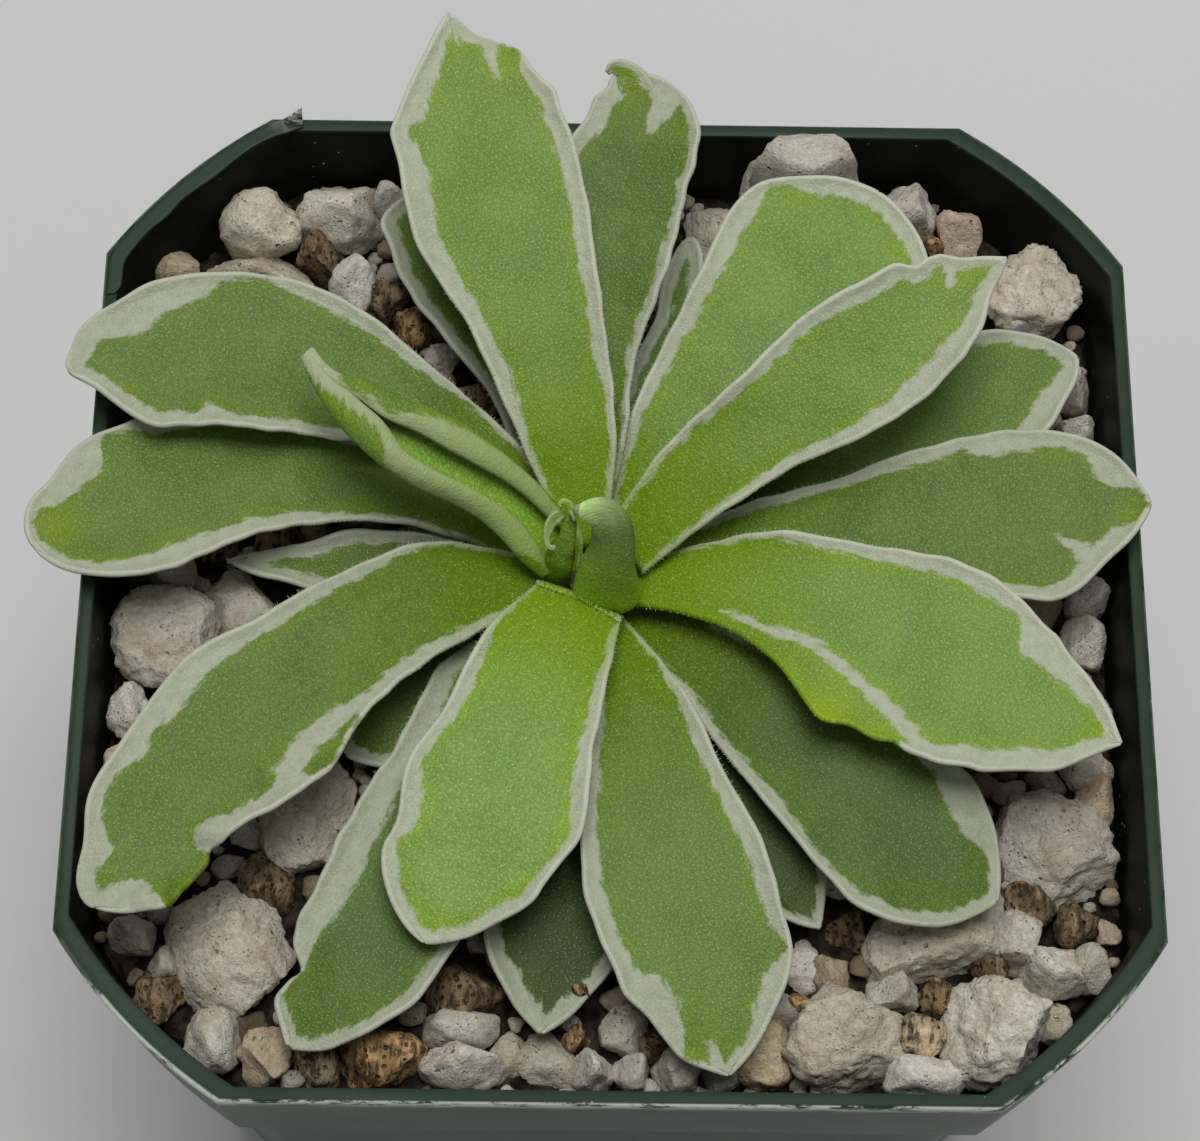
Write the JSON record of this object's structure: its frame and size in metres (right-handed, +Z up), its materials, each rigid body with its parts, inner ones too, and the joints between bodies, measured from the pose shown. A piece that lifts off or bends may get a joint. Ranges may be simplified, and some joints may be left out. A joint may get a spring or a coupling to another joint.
{
  "type": "potted butterwort",
  "caption": "Carnivorous butterwort with a flat rosette of variegated, sticky, curl-edged leaves, growing in pumice in a dark green square nursery pot with cut corners.",
  "frame": {"origin": "centre of the pot's underside, on the surface it stands on", "axes": "+Z up; +X and +Y square to the pot's sides, with -Y the side towards the camera"},
  "size_m": [0.0806, 0.0808, 0.0789],
  "materials": {
    "pot_plastic": "satin, dark green",
    "pumice": "dry porous stone",
    "crown": "fleshy",
    "leaf": "fleshy, sticky gloss, variegated",
    "young_leaf": "fleshy, smooth"
  },
  "bodies": {
    "root": {"pot": "pot_plastic", "pumice_mix": "pumice", "crown_and_roots": "crown", "leaf_01": "leaf", "leaf_02": "leaf", "leaf_03": "leaf", "leaf_04": "leaf", "leaf_05": "leaf", "leaf_06": "leaf", "leaf_07": "leaf", "leaf_08": "leaf", "leaf_09": "leaf", "leaf_10": "leaf", "leaf_11": "leaf", "leaf_12": "leaf", "leaf_13": "leaf", "leaf_14": "leaf", "leaf_15": "leaf", "leaf_16": "leaf", "leaf_17": "leaf", "leaf_18": "leaf", "leaf_19": "leaf", "leaf_20": "leaf", "young_leaf": "leaf", "centre_curl": "young_leaf", "inner_leaf": "young_leaf"}
  },
  "joints": []
}
